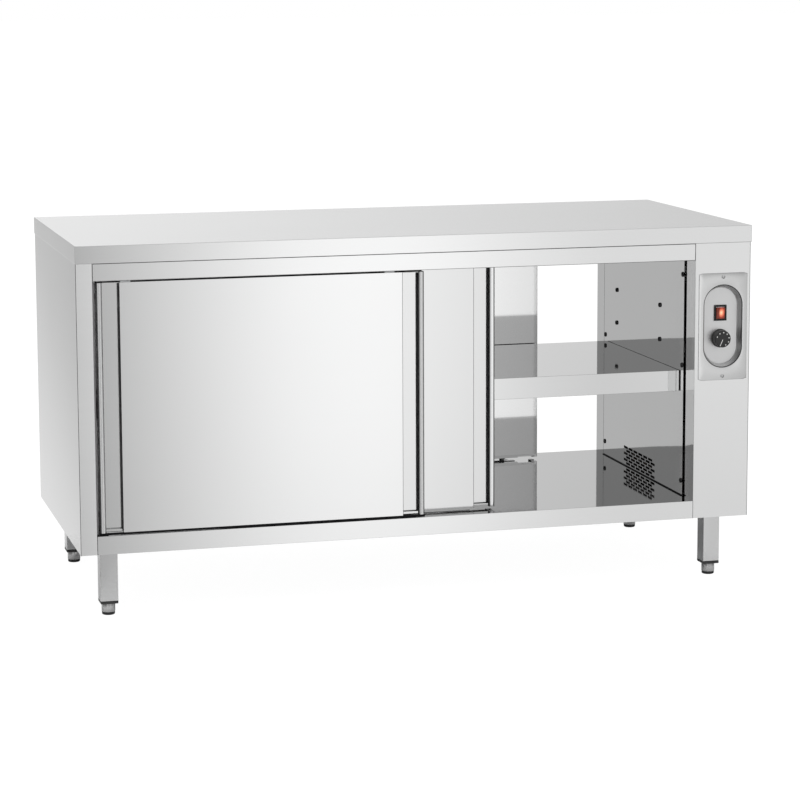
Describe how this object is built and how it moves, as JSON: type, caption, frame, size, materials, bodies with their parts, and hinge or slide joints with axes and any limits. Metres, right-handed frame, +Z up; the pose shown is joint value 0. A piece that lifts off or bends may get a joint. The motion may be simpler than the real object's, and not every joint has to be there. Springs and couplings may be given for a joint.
{
  "type": "plate warmer cabinet",
  "caption": "Free-standing stainless steel plate warmer cabinet with sliding doors on both long sides, an inner shelf, square legs and a thermostat column at its right end.",
  "frame": {"origin": "on the floor, under the middle of the worktop", "axes": "+X to the right along the long side, towards the control column; +Y from the control side to the far side; +Z up"},
  "size_m": [1.6, 0.7, 0.85],
  "materials": {
    "sheet_steel": "satin",
    "plated_steel": "satin",
    "foot_steel": "polished",
    "dark_metal": "matte",
    "aluminium_wheel": "satin",
    "heater_tube": "matte",
    "board": "matte",
    "insulation": "matte",
    "black_plastic": "matte",
    "white_plastic": "matte",
    "lit_orange": "gloss",
    "black_rubber": "matte"
  },
  "bodies": {
    "cabinet": {"worktop_skin": "sheet_steel", "worktop_core_board": "board", "left_side_panel": "sheet_steel", "left_liner": "sheet_steel", "right_side_panel": "sheet_steel", "right_liner": "sheet_steel", "floor_pan": "sheet_steel", "underside_cover": "plated_steel", "insulation_slabs": "insulation", "ceiling_panel": "sheet_steel", "front_top_rail": "sheet_steel", "rear_top_rail": "sheet_steel", "column_front_cover": "sheet_steel", "column_rear_cover": "sheet_steel", "front_top_track": "plated_steel", "rear_top_track": "plated_steel", "control_dish": "sheet_steel", "dish_screws": "plated_steel", "switch_housing": "black_plastic", "thermostat_body": "dark_metal", "fan_motor": "dark_metal", "heating_element": "heater_tube", "air_duct": "plated_steel", "terminal_block": "white_plastic", "cable_gland": "black_plastic", "wiring_loom": "black_plastic", "shelf": "sheet_steel", "shelf_supports": "plated_steel", "door_guides": "white_plastic", "door_bumpers": "black_rubber", "front_legs": "sheet_steel", "rear_legs": "sheet_steel", "leg_inserts": "black_plastic"},
    "front_left_door": {"front_left_door_skin": "sheet_steel", "front_left_door_back": "sheet_steel", "front_left_door_hangers": "plated_steel"},
    "front_left_door_roller_a": {"front_left_door_roller_a": "white_plastic"},
    "front_left_door_roller_b": {"front_left_door_roller_b": "white_plastic"},
    "front_right_door": {"front_right_door_skin": "sheet_steel", "front_right_door_back": "sheet_steel", "front_right_door_hangers": "plated_steel"},
    "front_right_door_roller_a": {"front_right_door_roller_a": "white_plastic"},
    "front_right_door_roller_b": {"front_right_door_roller_b": "white_plastic"},
    "rear_left_door": {"rear_left_door_skin": "sheet_steel", "rear_left_door_back": "sheet_steel", "rear_left_door_hangers": "plated_steel"},
    "rear_left_door_roller_a": {"rear_left_door_roller_a": "white_plastic"},
    "rear_left_door_roller_b": {"rear_left_door_roller_b": "white_plastic"},
    "rear_right_door": {"rear_right_door_skin": "sheet_steel", "rear_right_door_back": "sheet_steel", "rear_right_door_hangers": "plated_steel"},
    "rear_right_door_roller_a": {"rear_right_door_roller_a": "white_plastic"},
    "rear_right_door_roller_b": {"rear_right_door_roller_b": "white_plastic"},
    "rocker": {"switch_rocker": "lit_orange"},
    "knob": {"thermostat_knob": "black_plastic"},
    "impeller": {"fan_impeller": "aluminium_wheel"},
    "front_left_leveller": {"front_left_foot": "foot_steel"},
    "front_right_leveller": {"front_right_foot": "foot_steel"},
    "rear_left_leveller": {"rear_left_foot": "foot_steel"},
    "rear_right_leveller": {"rear_right_foot": "foot_steel"}
  },
  "joints": [
    {"name": "front_left_door_slide", "type": "slide", "parent": "cabinet", "child": "front_left_door", "axis": [1, 0, 0], "range_m": [0, 0.65]},
    {"name": "front_left_door_roller_a_spin", "type": "hinge", "parent": "front_left_door", "child": "front_left_door_roller_a", "pos_m": [-0.6875, -0.3295, 0.7873], "axis": [0, 1, 0], "continuous": true},
    {"name": "front_left_door_roller_b_spin", "type": "hinge", "parent": "front_left_door", "child": "front_left_door_roller_b", "pos_m": [-0.081, -0.3295, 0.7873], "axis": [0, 1, 0], "continuous": true},
    {"name": "front_right_door_slide", "type": "slide", "parent": "cabinet", "child": "front_right_door", "axis": [1, 0, 0], "range_m": [-0.18, 0.4725]},
    {"name": "front_right_door_roller_a_spin", "type": "hinge", "parent": "front_right_door", "child": "front_right_door_roller_a", "pos_m": [-0.506, -0.2895, 0.7873], "axis": [0, 1, 0], "continuous": true},
    {"name": "front_right_door_roller_b_spin", "type": "hinge", "parent": "front_right_door", "child": "front_right_door_roller_b", "pos_m": [0.1005, -0.2895, 0.7873], "axis": [0, 1, 0], "continuous": true},
    {"name": "rear_left_door_slide", "type": "slide", "parent": "cabinet", "child": "rear_left_door", "axis": [1, 0, 0], "range_m": [-0.47, 0.184]},
    {"name": "rear_left_door_roller_a_spin", "type": "hinge", "parent": "rear_left_door", "child": "rear_left_door_roller_a", "pos_m": [-0.2175, 0.2895, 0.7873], "axis": [0, 1, 0], "continuous": true},
    {"name": "rear_left_door_roller_b_spin", "type": "hinge", "parent": "rear_left_door", "child": "rear_left_door_roller_b", "pos_m": [0.389, 0.2895, 0.7873], "axis": [0, 1, 0], "continuous": true},
    {"name": "rear_right_door_slide", "type": "slide", "parent": "cabinet", "child": "rear_right_door", "axis": [1, 0, 0], "range_m": [-0.4, 0.25]},
    {"name": "rear_right_door_roller_a_spin", "type": "hinge", "parent": "rear_right_door", "child": "rear_right_door_roller_a", "pos_m": [-0.2835, 0.3295, 0.7873], "axis": [0, 1, 0], "continuous": true},
    {"name": "rear_right_door_roller_b_spin", "type": "hinge", "parent": "rear_right_door", "child": "rear_right_door_roller_b", "pos_m": [0.323, 0.3295, 0.7873], "axis": [0, 1, 0], "continuous": true},
    {"name": "rocker_tip", "type": "hinge", "parent": "cabinet", "child": "rocker", "pos_m": [0.731, -0.324, 0.6415], "axis": [1, 0, 0], "range_deg": [-12, 0]},
    {"name": "knob_turn", "type": "hinge", "parent": "cabinet", "child": "knob", "pos_m": [0.731, -0.328, 0.581], "axis": [0, 1, 0], "range_deg": [0, 270]},
    {"name": "impeller_spin", "type": "hinge", "parent": "cabinet", "child": "impeller", "pos_m": [0.72, 0.011, 0.273], "axis": [1, 0, 0], "continuous": true},
    {"name": "front_left_leveller_screw", "type": "slide", "parent": "cabinet", "child": "front_left_leveller", "axis": [0, 0, -1], "range_m": [0, 0.05]},
    {"name": "front_right_leveller_screw", "type": "slide", "parent": "cabinet", "child": "front_right_leveller", "axis": [0, 0, -1], "range_m": [0, 0.05]},
    {"name": "rear_left_leveller_screw", "type": "slide", "parent": "cabinet", "child": "rear_left_leveller", "axis": [0, 0, -1], "range_m": [0, 0.05]},
    {"name": "rear_right_leveller_screw", "type": "slide", "parent": "cabinet", "child": "rear_right_leveller", "axis": [0, 0, -1], "range_m": [0, 0.05]}
  ],
  "couplings": [
    {"joint": "front_left_door_roller_a_spin", "follows": "front_left_door_slide", "rad_per_m": 83.333},
    {"joint": "front_left_door_roller_b_spin", "follows": "front_left_door_slide", "rad_per_m": 83.333},
    {"joint": "front_right_door_roller_a_spin", "follows": "front_right_door_slide", "rad_per_m": 83.333},
    {"joint": "front_right_door_roller_b_spin", "follows": "front_right_door_slide", "rad_per_m": 83.333},
    {"joint": "rear_left_door_roller_a_spin", "follows": "rear_left_door_slide", "rad_per_m": 83.333},
    {"joint": "rear_left_door_roller_b_spin", "follows": "rear_left_door_slide", "rad_per_m": 83.333},
    {"joint": "rear_right_door_roller_a_spin", "follows": "rear_right_door_slide", "rad_per_m": 83.333},
    {"joint": "rear_right_door_roller_b_spin", "follows": "rear_right_door_slide", "rad_per_m": 83.333}
  ]
}
